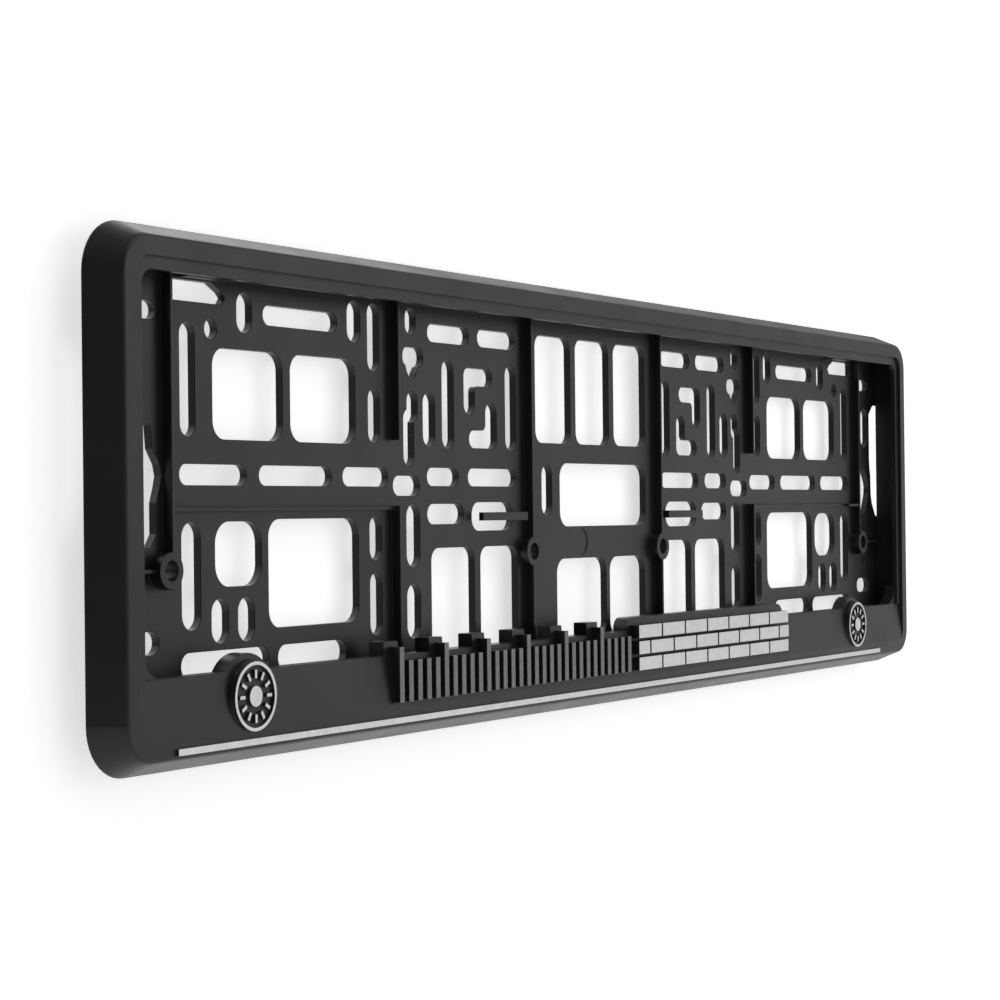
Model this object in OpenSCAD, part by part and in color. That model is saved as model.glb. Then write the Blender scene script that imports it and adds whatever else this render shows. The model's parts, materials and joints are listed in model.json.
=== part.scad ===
// Number plate holder: one black moulding with a raised rim, a slotted back
// panel with ribs and screw bosses, and a decorated lower strip, with thin foil
// faces on top of the raised decoration.
//
// X runs along the holder, Y runs from the viewer to the car and Z is up.
// The origin is midway between the inner screw holes, on the rear plane that
// lies on the car. Inside the modules, heights are measured from the middle of
// the rim and depths are measured back from the rim's front face.

/* [Number plate] */
// Length of the number plate
plate_w = 520; // [505:1:600]
// Height of the number plate
plate_h = 110; // [108:1:130]
// Free play of the plate in its pocket, on each side
plate_play = 0.5; // [0.2:0.1:1.5]

/* [Rim] */
// How far the rim covers the plate at each end
lip_cover = 4.5; // [2:0.5:8]
// How far the rim covers the plate at the top
lip_cover_top = 1; // [0.5:0.5:6]
// Width of the recessed inner band of the rim
bead_w = 3.3; // [2:0.1:6]
// Depth of the recess of the inner band
bead_depth = 1.2; // [0.4:0.1:2]
// Width of the flat outer band of the rim
band_w = 5.2; // [4:0.1:10]
// Thickness of the rim behind the inner band
lip_t = 2; // [1.2:0.1:3]
// Radius of the outer corners at the front face
corner_r = 10; // [9:0.5:20]
// Size of the rounding of the front edge
edge_r = 0.9; // [0.4:0.1:2]
// Depth of the flared skirt
skirt_depth = 10; // [6:0.5:11]
// How far the skirt flares outward on its way back
skirt_flare = 4; // [1:0.5:6]
// Wall thickness of the skirt
skirt_t = 2.2; // [1.5:0.1:3]
// Radius of the inner corners at the top of the rim
inner_top_r = 4; // [2:0.5:8]
// Radius of the inner corners where the rim meets the strip
inner_low_r = 8; // [2:0.5:10]
// Distance between the small ribs inside the skirt
gusset_pitch = 58; // [40:1:80]

/* [Lower strip] */
// Height of the strip from the lower edge of the rim to its top edge
strip_h = 20.7; // [18:0.1:24]
// How far the top edge of the strip leans back
strip_lean = 1.8; // [0.5:0.1:1.8]
// Wall thickness of the strip
strip_t = 1.6; // [1.2:0.1:1.6]
// Depth to which the wall along the strip's top edge reaches back
return_depth = 7; // [5:0.1:7.4]
// Thickness of that wall
return_t = 1.4; // [1:0.1:2]

/* [Decoration] */
// Height of the raised fins and blocks above the rim's front face
relief_h = 1.6; // [0.6:0.1:3]
// Thickness of the foil faces
foil_t = 0.2; // [0.1:0.05:0.4]
// Left end of the row of fins
fin_x0 = -144; // [-160:1:-130]
// Number of fins
fin_count = 30; // [10:1:30]
// Distance from one fin to the next
fin_pitch = 4.9; // [4:0.1:4.9]
// Width of a fin
fin_w = 2.3; // [1:0.1:3]
// Height of a short fin
fin_h = 12; // [8:0.5:13]
// Height of a tall fin
fin_tall_h = 16; // [14:0.5:17]
// Every how many fins a tall one stands
fin_group = 5; // [2:1:10]
// Lower end of the fins and blocks, above the lower edge of the rim
relief_z = 7.2; // [6:0.1:8]
// Left end of the rows of blocks
block_x0 = 6.5; // [4:0.5:20]
// Length of the rows of blocks
block_run = 126; // [60:1:126]
// Number of rows of blocks
block_rows = 3; // [2:1:3]
// Length of a block
block_w = 17; // [8:0.5:30]
// Height of a block
block_h = 4.4; // [3:0.1:4.4]
// Gap between the blocks
block_gap = 1.1; // [0.6:0.1:1.2]
// Distance from the left end of the rim to the left badge
badge_left_inset = 52; // [36:1:64]
// Distance from the right end of the rim to the right badge
badge_right_inset = 58; // [36:1:64]
// Radius of a badge
badge_r = 9.2; // [6:0.1:9.5]
// Width of the ring around a badge
badge_ring_w = 0.9; // [0.8:0.1:3]
// Height of the pattern of a badge above its disc
badge_sink = 0.7; // [0.3:0.1:1]
// Height of a badge above the strip at its centre
badge_h = 1.5; // [1.2:0.1:2.5]
// Distance from the left end of the rim to the foil line
line_left_inset = 19; // [16:1:64]
// Distance from the right end of the rim to the foil line
line_right_inset = 34; // [16:1:64]
// Width of the foil line
line_w = 1.7; // [0.8:0.1:2]
// Height of the foil line above the band
line_h = 0.6; // [0.3:0.1:1]

/* [Back panel] */
// Depth of the back panel behind the rim's front face
panel_depth = 12; // [11.5:0.5:14]
// Thickness of the back panel
panel_t = 2.4; // [1.8:0.1:3]
// Thickness of the wall around the plate
wall_t = 1.9; // [1.2:0.1:2.4]
// Width of the inner panels, between the clear strips beside the ribs
inner_w = 70.5; // [66:0.5:76]
// Width of the long slots that lie flat
slot_w = 5.6; // [4.5:0.1:6]
// Width of the slots that stand upright
upright_w = 7; // [5:0.1:7]
// Corner radius of the windows
window_r = 5; // [2:0.5:6]
// Radius of the inner corner of the hook-shaped slots
hook_r = 2; // [0.5:0.5:3]

/* [Ribs] */
// Depth of the front of the ribs, on which the plate lies
rib_depth = 9; // [8.8:0.1:10.5]
// Thickness of the ribs
rib_t = 1; // [0.8:0.1:2]
// Clear width on each side of a rib
rib_clear = 4.5; // [4:0.1:6]
// Height of the long flat ribs above the panel
low_rib_h = 1.2; // [0.6:0.1:2]

/* [Bosses and arms] */
// Distance between the two inner screw bosses
inner_boss_pitch = 93; // [92:0.5:94]
// Height of the inner bosses, below the middle
inner_boss_z = -17; // [-20:0.5:-15]
// Depth of the face of the inner bosses
inner_boss_depth = 8.8; // [8.4:0.1:9]
// Distance from the end of the plate to an outer boss
outer_boss_inset = 24.5; // [23:0.5:26]
// Height of the outer bosses, below the middle
outer_boss_z = -18.5; // [-19:0.5:-17]
// Depth of the face of the outer bosses
outer_boss_depth = 8.4; // [8.3:0.1:9]
// Radius of a boss
boss_r = 4.8; // [4:0.1:5.5]
// Radius of the screw holes
hole_r = 2.75; // [2:0.05:3.2]
// Length of the spring arms
arm_len = 28; // [20:1:30]
// Width of the spring arms
arm_w = 2.6; // [2:0.1:4]
// Thickness of the spring arms
arm_t = 1.6; // [1:0.1:2]
// Depth of the front of the spring arms
arm_depth = 8.6; // [8.3:0.1:9.5]
// Height of the spring arms, below the middle
arm_z = -5.5; // [-6.5:0.5:-4.5]

/* [Hidden] */
$fn = 48;
// stretch of a cut pattern along the holder
$stretch = 1;

black = [0.09, 0.09, 0.1];
silver = [0.8, 0.81, 0.82];
grey = [0.42, 0.42, 0.43];

// rim, from the inside outward
lip_x = plate_w / 2 - lip_cover;
step_x = lip_x + bead_w;
face_x = step_x + band_w;
pocket_x = plate_w / 2 + plate_play;
// the plate's top edge sits this high, so the opening is centred on the rim
lip_top_z = plate_h / 2 + 3.5 - lip_cover_top;
face_z = lip_top_z + bead_w + band_w;
pocket_top_z = lip_top_z + lip_cover_top + plate_play;
pocket_low_z = pocket_top_z - plate_h - 2 * plate_play;
corner_x = face_x - corner_r;
corner_z = face_z - corner_r;
lip_rear = bead_depth + lip_t;

// strip
strip_top_z = -face_z + strip_h;
strip_low_z = -face_z + band_w;
lean_rate = strip_lean / (strip_top_z - strip_low_z);
relief_low_z = -face_z + relief_z;
relief_root = 2.6;
bump_margin = 2.6;
fin_bump = 1.6;
block_top_z = relief_low_z + block_rows * block_h + (block_rows - 1) * block_gap;
badge_left_x = face_x - badge_left_inset;
badge_right_x = face_x - badge_right_inset;
badge_z = -face_z + 13.9;
badge_front = lean_rate * (badge_z - strip_low_z) - badge_h;
line_z = -face_z + 2;

// ribs, and the panels between them, from the middle outward
inner_boss_x = inner_boss_pitch / 2;
outer_boss_x = plate_w / 2 - outer_boss_inset;
inner_x = inner_boss_x + rib_clear;
side_rib_x = inner_x + inner_w + rib_clear;
outer_x = side_rib_x + rib_clear;
end_rib_x = outer_boss_x - 1.7;
outer_w = end_rib_x - rib_clear - outer_x;
end_x = end_rib_x + rib_clear;
panel_rear = panel_depth + panel_t;
holder_depth = panel_rear;
sheet_x = pocket_x + wall_t;
sheet_top_z = pocket_top_z + wall_t;
sheet_low_z = -face_z + 4;
sheet_r = 6;
side_upper_z = 17.5;
side_lower_z = -2;
end_rib_z = outer_boss_z - 5;
low_rib_z = -2.7;

// widths for which the cut patterns were drawn
inner_drawn_w = 70.5;
outer_drawn_w = 98.8;

// An outline drawn in X and Z becomes a solid between two depths.
module slab(front, rear) {
    translate([0, rear - holder_depth, 0])
        rotate([90, 0, 0])
            linear_extrude(rear - front)
                children();
}

// From the middle of the rim to the frame of the part.
module placed() {
    translate([0, 0, -inner_boss_z]) children();
}

// A copy on each side of the middle.
module both_sides() {
    children();
    mirror([1, 0, 0]) children();
}

module box_outline(x0, x1, z0, z1) {
    translate([x0, z0]) square([x1 - x0, z1 - z0]);
}

// A box outline with round corners.
module round_outline(x0, x1, z0, z1, r) {
    box_outline(x0 + r, x1 - r, z0, z1);
    box_outline(x0, x1, z0 + r, z1 - r);
    for (x = [x0 + r, x1 - r], z = [z0 + r, z1 - r])
        translate([x, z]) circle(r);
}

// A slot that lies flat: centre height z, from x0 to x1.
module flat_slot(x0, x1, z, w = slot_w) {
    left = x0 * $stretch + w / 2;
    right = max(left + 0.5, x1 * $stretch - w / 2);
    box_outline(left, right, z - w / 2, z + w / 2);
    for (x = [left, right])
        translate([x, z]) circle(w / 2);
}

// A slot that stands upright: centre x, from z0 to z1.
module upright_slot(x, z0, z1, w = upright_w) {
    middle = x * $stretch;
    box_outline(middle - w / 2, middle + w / 2, z0 + w / 2, z1 - w / 2);
    for (z = [z0 + w / 2, z1 - w / 2])
        translate([middle, z]) circle(w / 2);
}

// A window of a panel.
module window(x0, x1, z0, z1, r = window_r) {
    round_outline(x0 * $stretch, x1 * $stretch, z0, z1, r);
}

// The cut outlines of an inner panel, measured outward from its inner edge.
module inner_cuts() {
    // upper half
    upright_slot(64, 49.5, 57.5, 6);
    upright_slot(54, 16, 32.5);
    upright_slot(43, 15.5, 43);
    upright_slot(4.6, 15.5, 43);
    flat_slot(1, 25, 50.8);
    flat_slot(30, 54.5, 50.8);
    // hook-shaped slots, one above the other, with a rounded inner corner
    upper_z = 38.3;
    lower_z = 18.8;
    stem_w = 6.6;
    flat_slot(16, 33.5, upper_z);
    upright_slot(30.2, 26.4, 41, stem_w);
    translate([30.2 * $stretch - stem_w / 2, upper_z - slot_w / 2])
        mirror([0, 1]) corner_fillet(0, 0, hook_r);
    upright_slot(17, 16, 30.5);
    flat_slot(13.5, 30.5, lower_z);
    translate([17 * $stretch + upright_w / 2, lower_z + slot_w / 2])
        mirror([1, 0]) corner_fillet(0, 0, hook_r);
    // slot with a step
    upright_slot(63.5, 23, 32.5, 6);
    upright_slot(65.5, 10, 27, 6);
    // slot with a tail
    window(57, 68.5, 40, 45.8, 2.6);
    translate([64 * $stretch, 0])
        polygon([[-5, 41], [3.2, 41], [2.2, 38.4], [0.8, 36.6], [-0.8, 35.9], [-2.4, 36.6],
            [-3.2, 38.4], [-4.2, 39.6]]);
    // middle rows
    flat_slot(1, 31.5, 6.8);
    flat_slot(37, 55.5, 6.8);
    flat_slot(59.5, 74.5, 4, 6);
    window(4, 29.5, -10, -1, 4);
    flat_slot(34, 55.5, -4.6, 6.2);
    // lower half
    upright_slot(63.5, -20.5, -1.5, 7.6);
    upright_slot(63.5, -42, -25.5, 7.6);
    window(1.1, 24.5, -46, -15, 4);
    window(28, 53.5, -46, -15, 4);
}

// The cut outlines of an outer panel, measured outward from its inner edge.
module outer_cuts() {
    // upper half
    upright_slot(4.8, 37.5, 57.5, 6.4);
    upright_slot(4.8, 16.5, 32.5, 6.4);
    upright_slot(15, 45.5, 57.5);
    upright_slot(68, 45, 56);
    flat_slot(23.5, 59.5, 50.6);
    translate([83 * $stretch, 45.3]) circle(2.75);
    // slot with a slanted end
    window(82.5, 101.5, 52, 57.6, 1);
    slanted_end = [[85, 57.6], [82.5, 57.6], [78, 55.4], [76.5, 54], [78, 52], [85, 52]];
    polygon([for (p = slanted_end) [p[0] * $stretch, p[1]]]);
    upright_slot(93.2, 16.5, 46.5, 6.6);
    window(14.5, 47, 16, 40.5);
    window(50.5, 82.5, 16, 40.5);
    // middle row
    flat_slot(-2.5, 21.5, 6.5);
    flat_slot(27, 62, 6.5);
    flat_slot(67.5, 97, 6.5);
    // lower half
    upright_slot(4.5, -18, -5, 6.6);
    upright_slot(4.5, -40, -21.5, 6.6);
    window(13.5, 58, -35.5, -5.5);
    window(61, 82, -23.5, -6, 6);
    upright_slot(68.3, -38.5, -26.5, 7.6);
    upright_slot(80, -38.5, -26.5, 7.6);
    upright_slot(92.3, -34.5, -6, 8.2);
    flat_slot(20.5, 54, -43.8, 7);
    flat_slot(58, 97, -43.8, 7);
}

// The cut outlines of an end, measured outward from the clear strip beside its rib.
module end_cuts() {
    flat_slot(-1.7, 12.7, 48.7, 4.8);
    flat_slot(-1.8, 11.7, -37, 6);
    upright_slot(8.3, 22, 39, 8);
    upright_slot(4.8, -28.5, -25.5, 1.4);
    // opening beside the rib, with a bulge on both sides
    polygon([[0.8, 19], [7.6, 19], [8.4, 13], [10.4, 9.7], [12.2, 7.5], [13, 5], [12.6, 2],
        [10.4, -2.5], [8.6, -6.5], [8, -12.4], [1.2, -12.4], [-1.2, -9], [-1.2, -1],
        [-2.6, 3], [-3.4, 6], [-2.6, 9], [0.2, 13]]);
    // long opening in the edge of the panel
    polygon([[13.8, 36.5], [18.5, 40.5], [sheet_x - end_x + 1, 40.5], [sheet_x - end_x + 1, -9],
        [20, -7], [16.4, -2], [15.2, 2], [15, 10], [14.2, 13], [13.8, 17]]);
}

// The cut outlines of the centre panel, measured from the middle.
module centre_cuts() {
    for (x = [-27.5, 0, 27.5])
        window(x - 12, x + 12, 18.5, 54, 4);
    window(-23.5, 39.3, -9.2, 12);
    upright_slot(-32.3, -5.5, 11.3);
    window(-26, 9, -47, -20);
    window(11.5, 38.2, -47, -20);
}

// Cross-section of the outer band and skirt: outward distance from the corner
// centre, then depth.
module band_section() {
    step_u = step_x - corner_x;
    flare = skirt_flare / skirt_depth;
    polygon([
        [step_u, 0],
        [corner_r - edge_r, 0],
        [corner_r - edge_r * 0.35, edge_r * 0.12],
        [corner_r, edge_r * 0.45],
        [corner_r + edge_r * flare, edge_r * 1.2],
        [corner_r + skirt_flare, skirt_depth],
        [corner_r + skirt_flare - skirt_t, skirt_depth],
        [corner_r + lip_rear * flare - skirt_t + 0.6, lip_rear],
        [step_u, lip_rear]
    ]);
}

// Cross-section of a small rib in the skirt, from u0 outward.
module gusset_section(u0) {
    flare = skirt_flare / skirt_depth;
    gusset_rear = skirt_depth - 2;
    polygon([
        [u0, lip_rear - 0.3],
        [corner_r + lip_rear * flare - skirt_t + 0.9, lip_rear - 0.3],
        [corner_r + gusset_rear * flare - skirt_t + 0.4, gusset_rear],
        [u0, gusset_rear]
    ]);
}

// A straight length of a section, standing outward along +X and running along +Z.
module bar(length) {
    linear_extrude(length, center = true)
        children();
}

// The closed ring of the outer band and its skirt.
module band() {
    translate([0, -holder_depth, 0]) {
        both_sides() {
            // end bar
            translate([corner_x, 0, 0]) bar(2 * corner_z) band_section();
            // upper corner
            translate([corner_x, 0, corner_z])
                rotate([90, 0, 0]) mirror([0, 0, 1])
                    rotate_extrude(angle = 90) band_section();
            // lower corner
            translate([corner_x, 0, -corner_z])
                rotate([90, 0, 0]) mirror([0, 0, 1])
                    rotate_extrude(angle = -90) band_section();
        }
        // upper bar
        translate([0, 0, corner_z]) rotate([0, -90, 0]) bar(2 * corner_x) band_section();
        // lower bar
        translate([0, 0, -corner_z]) rotate([0, 90, 0]) bar(2 * corner_x) band_section();
    }
}

// Small ribs between the skirt and the wall around the plate.
module gussets() {
    half_count = floor((corner_x - 6) / gusset_pitch);
    translate([0, -holder_depth, 0])
        for (i = [-half_count : half_count]) {
            translate([i * gusset_pitch, 0, corner_z])
                rotate([0, -90, 0]) bar(rib_t) gusset_section(sheet_top_z - corner_z - 0.3);
            translate([i * gusset_pitch, 0, -corner_z])
                rotate([0, 90, 0]) bar(rib_t) gusset_section(-pocket_low_z + wall_t - corner_z - 0.3);
        }
}

// The inner band of the rim, which covers the plate, and its inner corners.
module lip() {
    step_u = step_x - corner_x;
    slab(bead_depth, lip_rear)
        difference() {
            union() {
                round_outline(-step_x - 1, step_x + 1, -10, lip_top_z + bead_w + 1, step_u + 1);
                box_outline(-step_x - 1, step_x + 1, strip_top_z - 0.2, 0);
            }
            round_outline(-lip_x, lip_x, -10, lip_top_z, inner_top_r);
            box_outline(-lip_x, lip_x, strip_top_z - 1, 0);
        }
    both_sides() slab(bead_depth + 1.1, return_depth)
        corner_fillet(lip_x, strip_top_z, inner_low_r);
}

// The filled corner between the upright edge at x and the flat edge at z.
module corner_fillet(x, z, r) {
    difference() {
        box_outline(x - r, x + 1, z - 1, z + r);
        translate([x - r, z + r]) circle(r);
    }
}

// Height of the top of fin number i.
function fin_top(i) = relief_low_z + (i % fin_group == 0 ? fin_tall_h : fin_h);
function fin_x(i) = fin_x0 + i * fin_pitch;

// The outline of the strip, with a bump over each piece of decoration, drawn
// smaller by inset along its top.
module strip_outline(inset = 0) {
    low_z = strip_low_z - 0.4 - inset;
    box_outline(-step_x - 1 - inset, step_x + 1 + inset, low_z, strip_top_z - inset);
    for (i = [0 : fin_group : fin_count - 1])
        box_outline(fin_x(i) - bump_margin + inset, fin_x(i) + fin_w + bump_margin - inset,
            low_z, fin_top(i) + fin_bump - inset);
    round_outline(block_x0 - bump_margin + inset, block_x0 + block_run + bump_margin - inset,
        low_z, block_top_z + bump_margin - inset, 4 - inset);
    for (x = [-badge_left_x, badge_right_x])
        translate([x, badge_z]) circle(badge_r + 2.2 - inset);
}

// The strip leans back toward its top edge, and a wall runs back from that edge.
module strip() {
    high_z = strip_top_z + 8;
    high_front = lean_rate * (high_z - strip_low_z);
    intersection() {
        translate([0, -holder_depth, 0])
            rotate([90, 0, 90])
                linear_extrude(2 * face_x, center = true)
                    polygon([
                        [0, strip_low_z - 0.4], [0, strip_low_z],
                        [high_front, high_z], [high_front + strip_t, high_z],
                        [strip_t, strip_low_z - 0.4]
                    ]);
        slab(-1, panel_depth) strip_outline();
    }
    slab(relief_root, return_depth)
        difference() {
            strip_outline();
            strip_outline(return_t);
        }
}

module fin_outlines() {
    for (i = [0 : fin_count - 1])
        box_outline(fin_x(i), fin_x(i) + fin_w, relief_low_z, fin_top(i));
}

// One row of blocks, cut to the run; every other row starts half a block in.
module block_outlines() {
    pitch = block_w + block_gap;
    for (row = [0 : block_rows - 1])
        for (k = [-1 : ceil(block_run / pitch)]) {
            start = max(0, k * pitch + (row % 2) * pitch / 2);
            stop = min(block_run, k * pitch + (row % 2) * pitch / 2 + block_w);
            z0 = relief_low_z + row * (block_h + block_gap);
            if (stop - start > 2)
                box_outline(block_x0 + start, block_x0 + stop, z0, z0 + block_h);
        }
}

// A ring around a plain centre with a rim of short ticks.
module badge_outline() {
    ticks = 12;
    difference() {
        circle(badge_r);
        circle(badge_r - badge_ring_w);
    }
    circle(badge_r * 0.3);
    for (i = [0 : ticks - 1])
        rotate(i * 360 / ticks)
            translate([badge_r * 0.52, -0.45]) square([badge_r * 0.24, 0.9]);
}

module line_outline() {
    box_outline(-face_x + line_left_inset, face_x - line_right_inset,
        line_z - line_w / 2, line_z + line_w / 2);
}

// Raised black moulding under the foil faces.
module relief() {
    slab(-relief_h, relief_root) {
        fin_outlines();
        block_outlines();
    }
    slab(-line_h, 1) line_outline();
    for (x = [-badge_left_x, badge_right_x]) {
        slab(badge_front + badge_sink, relief_root)
            translate([x, badge_z]) circle(badge_r + 0.5);
        slab(badge_front, badge_front + badge_sink + 0.2)
            translate([x, badge_z]) badge_outline();
    }
}

// The wall around the plate pocket.
module pocket_wall() {
    slab(lip_rear - 1, panel_depth + 0.2)
        difference() {
            box_outline(-sheet_x, sheet_x, pocket_low_z - wall_t, sheet_top_z);
            box_outline(-pocket_x, pocket_x, pocket_low_z, pocket_top_z);
        }
}

// The slotted back panel.
module back_panel() {
    difference() {
        slab(panel_depth, panel_rear)
            round_outline(-sheet_x, sheet_x, sheet_low_z, sheet_top_z, sheet_r);
        slab(panel_depth - 1, panel_rear + 1) {
            both_sides() {
                translate([inner_x, 0]) inner_cuts($stretch = inner_w / inner_drawn_w);
                translate([outer_x, 0]) outer_cuts($stretch = outer_w / outer_drawn_w);
                translate([end_x, 0]) end_cuts();
            }
            centre_cuts();
        }
        // shallow round mark on the centre panel
        slab(panel_depth - 1, panel_depth + 0.25)
            translate([-9, -14.5]) circle(4.6);
    }
}

// The outline of an upright rib at x.
module rib_outline(x, z0, z1) {
    box_outline(x - rib_t / 2, x + rib_t / 2, z0, z1);
}

// The ribs that stand on the back panel and carry the plate.
module ribs() {
    both_sides() {
        slab(rib_depth, panel_depth + 1) {
            rib_outline(inner_boss_x, pocket_low_z - 0.5, pocket_top_z + 0.5);
            rib_outline(side_rib_x, side_upper_z, pocket_top_z + 0.5);
            rib_outline(side_rib_x, pocket_low_z - 0.5, side_lower_z);
            rib_outline(end_rib_x, end_rib_z, pocket_top_z + 0.5);
            // short flat rib on the inner side of the end rib
            box_outline(end_rib_x - 12, end_rib_x, low_rib_z - rib_t / 2, low_rib_z + rib_t / 2);
        }
        // low flat rib across the outer panel
        slab(panel_depth - low_rib_h, panel_depth + 1)
            box_outline(side_rib_x, end_rib_x, low_rib_z - rib_t / 2, low_rib_z + rib_t / 2);
    }
}

// Other solid pieces that stand on the back panel on each side.
module standing_pieces() {
    both_sides() {
        // web from the outer boss to the pocket wall
        slab(panel_depth - 2.2, panel_depth + 1)
            box_outline(outer_boss_x, pocket_x + 0.5, outer_boss_z - rib_t / 2, outer_boss_z + rib_t / 2);
        // small rest above the outer panel
        slab(panel_depth - 3, panel_depth + 1)
            box_outline(end_rib_x - 27, end_rib_x - 7, pocket_top_z - 0.9, pocket_top_z + 0.5);
        // spring arm and its foot
        slab(arm_depth, arm_depth + arm_t)
            box_outline(inner_x, inner_x + arm_len, arm_z - arm_w / 2, arm_z + arm_w / 2);
        slab(arm_depth, panel_depth + 1)
            box_outline(inner_x, inner_x + 3.6, arm_z - arm_w / 2, arm_z + arm_w / 2);
    }
}

module boss(x, z, front) {
    translate([x, front - holder_depth, z])
        rotate([-90, 0, 0]) cylinder(r = boss_r, h = holder_depth - front);
}

module boss_hole(x, z) {
    translate([x, -holder_depth, z])
        rotate([-90, 0, 0]) cylinder(r = hole_r, h = holder_depth + 1);
}

module holder() {
    color(black) placed()
        difference() {
            union() {
                band();
                gussets();
                lip();
                strip();
                relief();
                pocket_wall();
                back_panel();
                ribs();
                standing_pieces();
                both_sides() {
                    boss(inner_boss_x, inner_boss_z, inner_boss_depth);
                    boss(outer_boss_x, outer_boss_z, outer_boss_depth);
                }
            }
            both_sides() {
                boss_hole(inner_boss_x, inner_boss_z);
                boss_hole(outer_boss_x, outer_boss_z);
            }
        }
}

module foil_fins() {
    color(grey) placed() slab(-relief_h - foil_t, -relief_h) fin_outlines();
}

module foil_blocks() {
    color(silver) placed() slab(-relief_h - foil_t, -relief_h) block_outlines();
}

module foil_line() {
    color(silver) placed() slab(-line_h - foil_t, -line_h) line_outline();
}

module foil_badge(x) {
    slab(badge_front - foil_t, badge_front) translate([x, badge_z]) badge_outline();
}

module foil_badge_left() {
    color(silver) placed() foil_badge(-badge_left_x);
}

module foil_badge_right() {
    color(silver) placed() foil_badge(badge_right_x);
}

holder();
foil_fins();
foil_blocks();
foil_line();
foil_badge_left();
foil_badge_right();
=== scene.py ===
import json
import math

import bpy
from mathutils import Matrix, Vector

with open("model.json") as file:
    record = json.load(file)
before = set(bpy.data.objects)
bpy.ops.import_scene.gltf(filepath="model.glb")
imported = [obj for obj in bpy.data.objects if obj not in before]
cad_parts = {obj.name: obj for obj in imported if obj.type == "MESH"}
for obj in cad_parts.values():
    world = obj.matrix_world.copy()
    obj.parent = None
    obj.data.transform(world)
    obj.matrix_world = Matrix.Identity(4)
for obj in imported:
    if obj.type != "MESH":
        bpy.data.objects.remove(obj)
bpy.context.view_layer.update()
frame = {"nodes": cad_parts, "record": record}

# lengths are in metres and angles in radians, and a brightness of 1 is white
MM = 0.001
WHITE = (1, 1, 1, 1)

# floor: its brightness where it is seen, and what its shaded part adds in the open
FLOOR_Z = -0.30
FLOOR_WIDTH = 12
FLOOR_GLOW = 0.93
FLOOR_SHADE = 0.2
# wall: its distance behind the part, and its brightness in full shadow
WALL_GAP = 4 * MM
WALL_WIDTH = 12
WALL_HEIGHT = 2
WALL_GLOW = 0.62
# black card beside the camera
CARD_PLACE = (-1.6, -0.25, 0.1)
CARD_FACING = (1, 0.1, 0)
CARD_WIDTH = 2.4
CARD_HEIGHT = 1.6

# brightness of the world as a light
WORLD_LIGHT = 0.35
# brightness that the part mirrors from ahead and from the right
MIRRORED_WALL = (0.12, 0.95)
# share of it that is left at the top of the part
MIRRORED_TOP = 0.8
# brightness that the part's top mirrors from high up behind it
MIRRORED_SKY = 2.0

# the photograph's view: yaw from +Y towards +X, then pitch and roll
CAMERA_PLACE = (-0.7244, -0.3922, 0.0123)
CAMERA_YAW = 1.0383
CAMERA_PITCH = 0.0057
CAMERA_ROLL = -0.0112
CAMERA_SENSOR_MM = 36
CAMERA_LENS_MM = 86.44

scene = bpy.context.scene


def grey(level):
    return (level, level, level)


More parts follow.
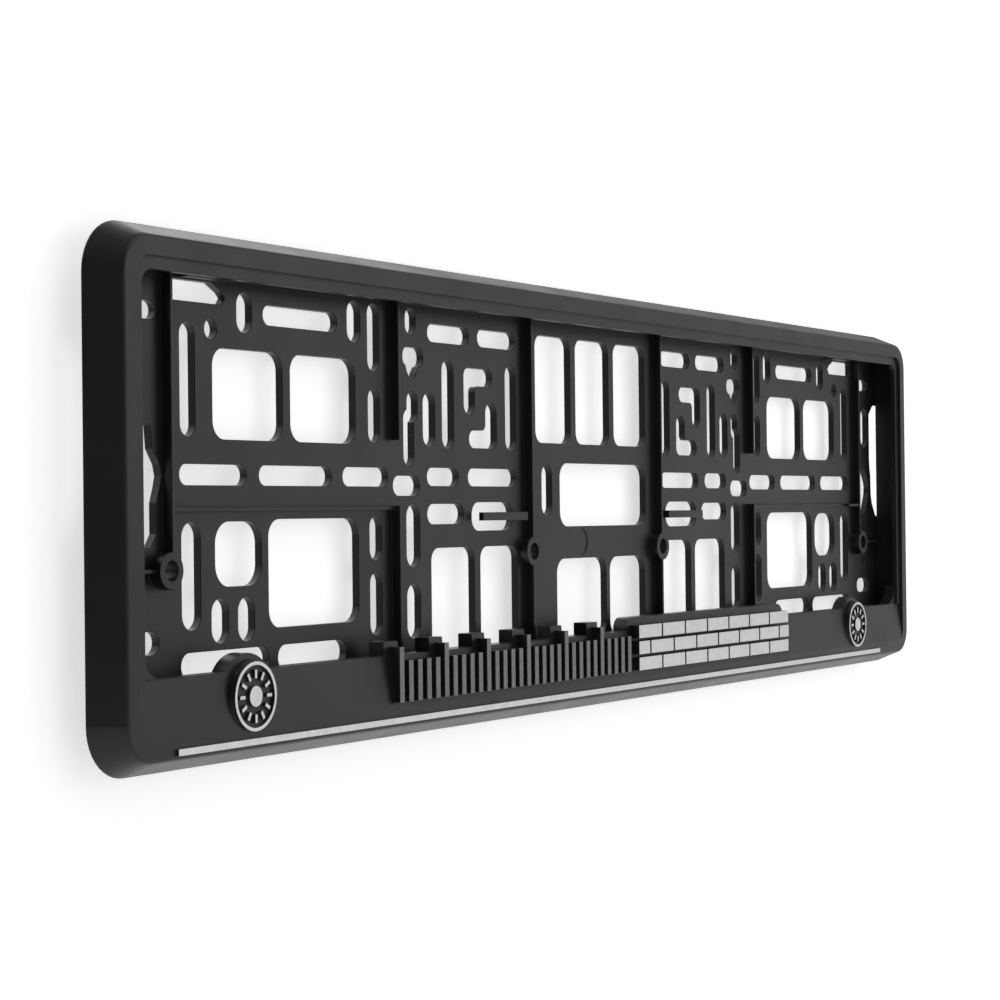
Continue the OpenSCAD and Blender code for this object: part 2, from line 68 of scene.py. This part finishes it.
# node helpers
class Nodes:
    """A small builder for one material's or world's node tree."""

    def __init__(self, tree):
        self.tree = tree
        tree.nodes.clear()

    def add(self, kind, **properties):
        """A new node with these properties."""
        node = self.tree.nodes.new(kind)
        for name, value in properties.items():
            setattr(node, name, value)
        return node

    def put(self, node, socket, value):
        """Sets an input, or links it where value is an output socket."""
        target = node.inputs[socket]
        if isinstance(value, bpy.types.NodeSocket):
            self.tree.links.new(value, target)
        else:
            target.default_value = value

    def output_of(self, kind, *values, **properties):
        """The first output of a new node, whose first inputs get the values in turn."""
        node = self.add(kind, **properties)
        for socket, value in enumerate(values):
            self.put(node, socket, value)
        return node.outputs[0]

    def noise(self, scale, detail=2.0, rough=0.5):
        """Noise over the object's own coordinates; scale is in waves per metre."""
        node = self.add("ShaderNodeTexNoise")
        self.put(node, "Vector", self.add("ShaderNodeTexCoord").outputs["Object"])
        self.put(node, "Scale", scale)
        self.put(node, "Detail", detail)
        self.put(node, "Roughness", rough)
        return node.outputs["Fac"]

    def remap(self, value, low, high, from_low=0.3, from_high=0.7):
        """Runs from low to high while value runs from from_low to from_high."""
        node = self.add("ShaderNodeMapRange")
        self.put(node, "Value", value)
        self.put(node, "From Min", from_low)
        self.put(node, "From Max", from_high)
        self.put(node, "To Min", low)
        self.put(node, "To Max", high)
        return node.outputs["Result"]

    def multiply(self, first, second):
        return self.output_of("ShaderNodeMath", first, second, operation="MULTIPLY")

    def blend(self, factor, first, second):
        """A colour between first and second."""
        colour_a, colour_b, colour_out = 6, 7, 2
        node = self.add("ShaderNodeMix", data_type="RGBA")
        self.put(node, "Factor", factor)
        self.put(node, colour_a, (*first, 1))
        self.put(node, colour_b, (*second, 1))
        return node.outputs[colour_out]

    def bump(self, height, strength, distance, normal):
        node = self.add("ShaderNodeBump")
        self.put(node, "Height", height)
        self.put(node, "Strength", strength)
        self.put(node, "Distance", distance)
        self.put(node, "Normal", normal)
        return node.outputs["Normal"]

    def soft_edges(self, radius):
        """Normals of small rounded edges."""
        node = self.add("ShaderNodeBevel", samples=6)
        self.put(node, "Radius", radius)
        return node.outputs["Normal"]

    def is_ray(self, *kinds):
        """1 for light paths of the named kinds, otherwise 0."""
        paths = self.add("ShaderNodeLightPath")
        found = paths.outputs[f"Is {kinds[0]} Ray"]
        for kind in kinds[1:]:
            ray = paths.outputs[f"Is {kind} Ray"]
            found = self.output_of("ShaderNodeMath", found, ray, operation="MAXIMUM")
        return found

    def matte(self, colour):
        return self.output_of("ShaderNodeBsdfDiffuse", colour)

    def glow(self, strength):
        return self.output_of("ShaderNodeEmission", WHITE, strength)

    def both(self, first, second):
        """The light of two shaders together."""
        return self.output_of("ShaderNodeAddShader", first, second)

    def mix(self, factor, first, second):
        """The first shader where factor is 0, and the second where it is 1."""
        return self.output_of("ShaderNodeMixShader", factor, first, second)

    def finish(self, kind, shader):
        """Ends the tree in an output node of this kind."""
        self.put(self.add(kind), "Surface", shader)


def material(name):
    mat = bpy.data.materials.new(name)
    mat.use_nodes = True
    return mat, Nodes(mat.node_tree)


# materials
def black_moulding():
    """Satin black moulded plastic: fine grain, faint flow marks, soft edges."""
    mat, n = material("black_moulding")
    shader = n.add("ShaderNodeBsdfPrincipled")
    flow = n.remap(n.noise(scale=22, detail=3), 0, 1)
    n.put(shader, "Base Color", n.blend(flow, (0.012, 0.012, 0.013), (0.018, 0.018, 0.019)))
    n.put(shader, "Roughness", n.remap(n.noise(scale=60), 0.37, 0.43))
    n.put(shader, "Specular IOR Level", 0.32)
    edges = n.soft_edges(radius=0.4 * MM)
    grain = n.noise(scale=3200, rough=0.6)
    n.put(shader, "Normal", n.bump(grain, strength=0.2, distance=0.05 * MM, normal=edges))
    n.finish("ShaderNodeOutputMaterial", shader.outputs[0])
    return mat


def foil(name, dark, light, rough, grain_strength):
    """Stamped metal foil with a fine grain."""
    mat, n = material(name)
    shader = n.add("ShaderNodeBsdfPrincipled")
    patches = n.remap(n.noise(scale=420, detail=3, rough=0.6), 0, 1)
    n.put(shader, "Base Color", n.blend(patches, dark, light))
    n.put(shader, "Metallic", 0.85)
    n.put(shader, "Roughness", n.remap(n.noise(scale=900), rough - 0.04, rough + 0.05))
    edges = n.soft_edges(radius=0.15 * MM)
    grain = n.noise(scale=2600)
    n.put(shader, "Normal", n.bump(grain, grain_strength, distance=0.04 * MM, normal=edges))
    n.finish("ShaderNodeOutputMaterial", shader.outputs[0])
    return mat


finishes = {
    "black_moulding": black_moulding(),
    "silver_foil": foil("silver_foil", dark=(0.60, 0.61, 0.62), light=(0.70, 0.71, 0.72),
                        rough=0.34, grain_strength=0.2),
    "grey_foil": foil("grey_foil", dark=(0.15, 0.15, 0.155), light=(0.19, 0.19, 0.195),
                      rough=0.40, grain_strength=0.3),
}
slots = {s["node"]: s["material_slot"] for s in frame["record"]["subparts"]}
for name, obj in frame["nodes"].items():
    obj.data.materials.clear()
    obj.data.materials.append(finishes[slots[name]])


# stage
def plane(name, centre, normal, width, height):
    """A flat rectangle that faces along normal."""
    mesh = bpy.data.meshes.new(name)
    w, h = width / 2, height / 2
    mesh.from_pydata([(-w, -h, 0), (w, -h, 0), (w, h, 0), (-w, h, 0)], [], [(0, 1, 2, 3)])
    obj = bpy.data.objects.new(name, mesh)
    obj.location = centre
    obj.rotation_mode = "QUATERNION"
    obj.rotation_quaternion = Vector(normal).to_track_quat("Z", "Y")
    scene.collection.objects.link(obj)
    return obj


def build_floor():
    """A matte floor that is seen and mirrored as white with the part's shadow on it."""
    floor = plane("floor", (0, 0, FLOOR_Z), (0, 0, 1), FLOOR_WIDTH, FLOOR_WIDTH)
    mat, n = material("floor_white")
    lit = n.matte(n.blend(n.remap(n.noise(scale=2), 0, 1), grey(0.90), grey(0.92)))
    seen = n.both(n.glow(FLOOR_GLOW), n.matte((*grey(FLOOR_SHADE), 1)))
    shader = n.mix(n.is_ray("Camera", "Glossy", "Transmission"), lit, seen)
    n.finish("ShaderNodeOutputMaterial", shader)
    floor.data.materials.append(mat)


def build_backdrop():
    """A white wall close behind the part, with its soft shadow, there only for a camera in front."""
    middle_z = FLOOR_Z + WALL_HEIGHT / 2
    wall = plane("backdrop", (0, WALL_GAP, middle_z), (0, -1, 0), WALL_WIDTH, WALL_HEIGHT)
    mat, n = material("backdrop_white")
    lit = n.matte(n.blend(n.remap(n.noise(scale=2), 0, 1), grey(0.90), grey(0.91)))
    rear = n.add("ShaderNodeNewGeometry").outputs["Backfacing"]
    clear = n.output_of("ShaderNodeBsdfTransparent")
    n.finish("ShaderNodeOutputMaterial", n.mix(rear, n.both(n.glow(WALL_GLOW), lit), clear))
    wall.data.materials.append(mat)
    wall.visible_diffuse = False
    wall.visible_glossy = False
    wall.visible_transmission = False
    wall.visible_shadow = False


def build_dark_card():
    """A black card beside the camera, which the side walls mirror."""
    card = plane("dark_card", CARD_PLACE, CARD_FACING, CARD_WIDTH, CARD_HEIGHT)
    mat, n = material("card_black")
    black = n.matte(n.blend(n.noise(scale=3), grey(0.01), grey(0.015)))
    n.finish("ShaderNodeOutputMaterial", black)
    card.data.materials.append(mat)
    card.visible_camera = False
    card.visible_diffuse = False


build_floor()
build_backdrop()
build_dark_card()


# light
def mirrored_brightness(n):
    """What the part mirrors: a soft wall, brighter to the right and lower down, and a bright sky."""
    direction = n.add("ShaderNodeSeparateXYZ")
    n.put(direction, "Vector", n.add("ShaderNodeTexCoord").outputs["Generated"])
    right, back, up = (direction.outputs[axis] for axis in "XYZ")
    wall = n.multiply(n.remap(right, *MIRRORED_WALL, from_low=0.58, from_high=1.0),
                      n.remap(up, 1.0, MIRRORED_TOP, from_low=-0.1, from_high=0.1))
    sky = n.multiply(n.remap(back, 0, 1, from_low=0.3, from_high=0.5),
                     n.remap(up, 0, MIRRORED_SKY, from_low=0.21, from_high=0.33))
    return n.output_of("ShaderNodeMath", wall, sky, operation="ADD")


def build_world():
    """Even light that is white where it is seen, and has its own brightness where it is mirrored."""
    world = bpy.data.worlds.new("studio")
    world.use_nodes = True
    scene.world = world
    n = Nodes(world.node_tree)
    light, mirrored, seen = (n.output_of("ShaderNodeBackground", WHITE, strength)
                             for strength in (WORLD_LIGHT, mirrored_brightness(n), 1.0))
    lit = n.mix(n.is_ray("Glossy"), light, mirrored)
    n.finish("ShaderNodeOutputWorld", n.mix(n.is_ray("Camera", "Transmission"), lit, seen))


def softbox(name, place, size, power):
    """A rectangular lamp that shines at the origin."""
    data = bpy.data.lights.new(name, "AREA")
    data.shape = "RECTANGLE"
    data.size, data.size_y = size
    data.energy = power
    lamp = bpy.data.objects.new(name, data)
    lamp.location = place
    lamp.rotation_mode = "QUATERNION"
    lamp.rotation_quaternion = Vector(place).to_track_quat("Z", "Y")
    scene.collection.objects.link(lamp)


build_world()
softbox("key", place=(1.1, -1.3, 0.5), size=(0.9, 0.9), power=4)
softbox("top", place=(0.1, -0.5, 1.2), size=(1.4, 0.7), power=4)


# camera
def camera_turn():
    """The camera's rotation, from its yaw, pitch and roll."""
    level = math.cos(CAMERA_PITCH)
    ahead = Vector((math.sin(CAMERA_YAW) * level, math.cos(CAMERA_YAW) * level,
                    math.sin(CAMERA_PITCH)))
    right = Vector((math.cos(CAMERA_YAW), -math.sin(CAMERA_YAW), 0))
    up = right.cross(ahead)
    rolled_right = right * math.cos(CAMERA_ROLL) + up * math.sin(CAMERA_ROLL)
    rolled_up = up * math.cos(CAMERA_ROLL) - right * math.sin(CAMERA_ROLL)
    return Matrix((rolled_right, rolled_up, -ahead)).transposed()


def build_camera():
    data = bpy.data.cameras.new("camera")
    data.sensor_width = CAMERA_SENSOR_MM
    data.lens = CAMERA_LENS_MM
    data.clip_start, data.clip_end = 0.01, 50
    camera = bpy.data.objects.new("camera", data)
    camera.matrix_world = Matrix.Translation(CAMERA_PLACE) @ camera_turn().to_4x4()
    scene.collection.objects.link(camera)
    scene.camera = camera


build_camera()
scene.view_settings.view_transform = "Standard"
